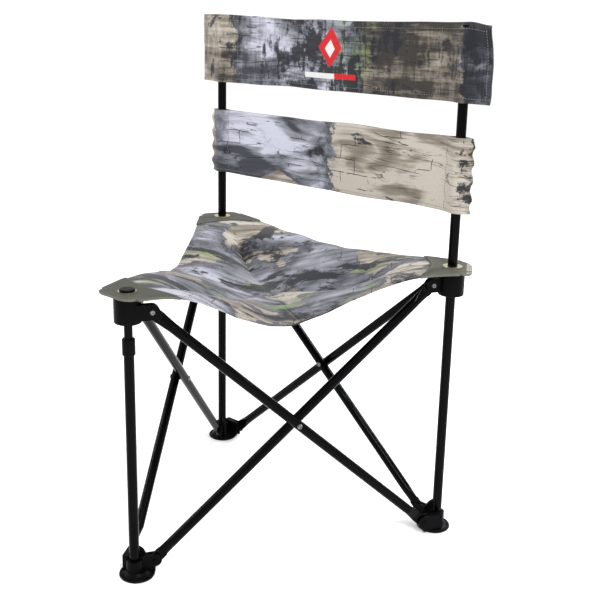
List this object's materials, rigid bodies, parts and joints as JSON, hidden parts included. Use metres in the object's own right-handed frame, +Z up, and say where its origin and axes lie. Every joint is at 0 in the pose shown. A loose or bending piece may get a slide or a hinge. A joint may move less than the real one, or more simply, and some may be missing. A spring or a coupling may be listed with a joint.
{
  "type": "folding stool",
  "caption": "Folding three leg stool with a sagging fabric seat, crossed tube bars and two fabric back slings.",
  "frame": {"origin": "on the ground, under the middle of the whole object", "axes": "+Z up, -Y towards the front leg, +X towards the right rear post"},
  "size_m": [0.628, 0.5362, 0.858],
  "materials": {
    "tube": "gloss black enamel",
    "moulding": "semi-gloss moulded plastic",
    "rivet": "satin",
    "grommet": "antique plated",
    "vinyl": "coated fabric",
    "fabric": "printed woven cloth"
  },
  "bodies": {
    "right_post": {"post_right": "tube", "foot_right": "moulding", "foot_rivets_right": "rivet", "foot_pin_right": "rivet", "post_plug_right": "moulding", "upper_sling_sleeve_right": "fabric", "upper_sling_panel": "fabric"},
    "bar_left_right": {"bar_left_hub_right_foot": "tube", "crossing_rivet_right_left": "rivet", "crossing_spacer_right_left": "moulding"},
    "bar_right_left": {"bar_right_hub_left_foot": "tube"},
    "hub_left": {"hub_left": "moulding", "hub_rivets_left": "rivet", "grommet_left": "grommet"},
    "left_post": {"post_left": "tube", "foot_left": "moulding", "foot_rivets_left": "rivet", "foot_pin_left": "rivet", "post_plug_left": "moulding"},
    "hub_right": {"hub_right": "moulding", "hub_rivets_right": "rivet", "grommet_right": "grommet", "seat_corner_right": "vinyl"},
    "bar_front_right": {"bar_front_hub_right_foot": "tube", "crossing_rivet_front_right": "rivet", "crossing_spacer_front_right": "moulding"},
    "bar_right_front": {"bar_right_hub_front_foot": "tube"},
    "hub_front": {"hub_front": "moulding", "hub_rivets_front": "rivet", "grommet_front": "grommet", "front_cap": "moulding", "front_leg_inner_tube": "tube"},
    "front_foot": {"foot_front": "moulding", "foot_rivets_front": "rivet", "foot_pin_front": "rivet", "front_leg_tube": "tube", "front_leg_collar": "moulding"},
    "bar_front_left": {"bar_front_hub_left_foot": "tube", "crossing_rivet_left_front": "rivet", "crossing_spacer_left_front": "moulding"},
    "bar_left_front": {"bar_left_hub_front_foot": "tube"},
    "seat_centre": {"seat_panel": "fabric"},
    "seat_left": {"seat_corner_left": "vinyl"},
    "seat_front": {"seat_corner_front": "vinyl"},
    "upper_sling_left": {"upper_sling_sleeve_left": "fabric"},
    "lower_sling_right": {"lower_sling_sleeve_right": "fabric", "lower_sling_panel": "fabric"},
    "lower_sling_left": {"lower_sling_sleeve_left": "fabric"}
  },
  "joints": [
    {"name": "fold", "type": "hinge", "parent": "right_post", "child": "bar_left_right", "pos_m": [0.232, 0.22139, 0.022], "axis": [0, 1, 0], "range_deg": [0, 40]},
    {"name": "rear_crossing", "type": "hinge", "parent": "bar_left_right", "child": "bar_right_left", "pos_m": [0, 0.22989, 0.232], "axis": [0, 1, 0], "range_deg": [-80.01, 0]},
    {"name": "left_hub_pivot", "type": "hinge", "parent": "bar_left_right", "child": "hub_left", "pos_m": [-0.232, 0.22139, 0.442], "axis": [0, 1, 0], "range_deg": [-40.01, 0]},
    {"name": "left_post_pivot", "type": "hinge", "parent": "bar_right_left", "child": "left_post", "pos_m": [-0.232, 0.23839, 0.022], "axis": [0, 1, 0], "range_deg": [0, 40.01]},
    {"name": "right_hub_pivot", "type": "hinge", "parent": "bar_right_left", "child": "hub_right", "pos_m": [0.232, 0.23839, 0.442], "axis": [0, 1, 0], "range_deg": [0, 40.01]},
    {"name": "right_foot_pivot", "type": "hinge", "parent": "right_post", "child": "bar_front_right", "pos_m": [0.26106, 0.18806, 0.022], "axis": [-0.866, 0.5, 0], "range_deg": [0, 40.01]},
    {"name": "right_crossing", "type": "hinge", "parent": "bar_front_right", "child": "bar_right_front", "pos_m": [0.1377, -0.00861, 0.232], "axis": [-0.866, 0.5, 0], "range_deg": [-80.01, 0]},
    {"name": "front_hub_pivot", "type": "hinge", "parent": "bar_front_right", "child": "hub_front", "pos_m": [0.02906, -0.21377, 0.442], "axis": [-0.866, 0.5, 0], "range_deg": [-40.01, 0]},
    {"name": "front_foot_pivot", "type": "hinge", "parent": "bar_right_front", "child": "front_foot", "pos_m": [0.01434, -0.20527, 0.022], "axis": [-0.866, 0.5, 0], "range_deg": [0, 40.01]},
    {"name": "left_foot_pivot", "type": "hinge", "parent": "left_post", "child": "bar_front_left", "pos_m": [-0.24633, 0.19656, 0.022], "axis": [-0.866, -0.5, 0], "range_deg": [0, 40.01]},
    {"name": "left_crossing", "type": "hinge", "parent": "bar_front_left", "child": "bar_left_front", "pos_m": [-0.1377, -0.00861, 0.232], "axis": [-0.866, -0.5, 0], "range_deg": [-80.01, 0]},
    {"name": "seat_gather_right", "type": "slide", "parent": "hub_right", "child": "seat_centre", "axis": [0.866, 0.5, 0], "range_m": [0, 0.21855], "deforming": ["seat_panel", "seat_corner_right"]},
    {"name": "seat_gather_left", "type": "slide", "parent": "seat_centre", "child": "seat_left", "axis": [0.866, -0.5, 0], "range_m": [0, 0.21855], "deforming": ["seat_corner_left"]},
    {"name": "seat_gather_front", "type": "slide", "parent": "seat_centre", "child": "seat_front", "axis": [0, 1, 0], "range_m": [0, 0.21855], "deforming": ["seat_corner_front"]},
    {"name": "upper_sling_gather", "type": "slide", "parent": "right_post", "child": "upper_sling_left", "axis": [1, 0, 0], "range_m": [0, 0.37854], "deforming": ["upper_sling_panel", "upper_sling_sleeve_left", "upper_sling_sleeve_right"]},
    {"name": "lower_sling_lift", "type": "slide", "parent": "right_post", "child": "lower_sling_right", "axis": [0, 0, 1], "range_m": [0, 0.12201], "deforming": ["lower_sling_panel", "lower_sling_sleeve_right"]},
    {"name": "lower_sling_gather", "type": "slide", "parent": "lower_sling_right", "child": "lower_sling_left", "axis": [1, 0, 0], "range_m": [0, 0.37854], "deforming": ["lower_sling_sleeve_left"]}
  ],
  "couplings": [
    {"joint": "rear_crossing", "follows": "fold", "ratio": -2},
    {"joint": "left_hub_pivot", "follows": "fold", "ratio": -1},
    {"joint": "left_post_pivot", "follows": "fold", "ratio": 1},
    {"joint": "right_hub_pivot", "follows": "fold", "ratio": 1},
    {"joint": "right_foot_pivot", "follows": "fold", "ratio": 1},
    {"joint": "right_crossing", "follows": "fold", "ratio": -2},
    {"joint": "front_hub_pivot", "follows": "fold", "ratio": -1},
    {"joint": "front_foot_pivot", "follows": "fold", "ratio": 1},
    {"joint": "left_foot_pivot", "follows": "fold", "ratio": 1},
    {"joint": "left_crossing", "follows": "fold", "ratio": -2},
    {"joint": "seat_gather_right", "follows": "fold", "m_per_rad": 0.31304},
    {"joint": "seat_gather_left", "follows": "fold", "m_per_rad": 0.31304},
    {"joint": "seat_gather_front", "follows": "fold", "m_per_rad": 0.31304},
    {"joint": "upper_sling_gather", "follows": "fold", "m_per_rad": 0.5422},
    {"joint": "lower_sling_lift", "follows": "fold", "m_per_rad": 0.17475},
    {"joint": "lower_sling_gather", "follows": "fold", "m_per_rad": 0.5422}
  ]
}
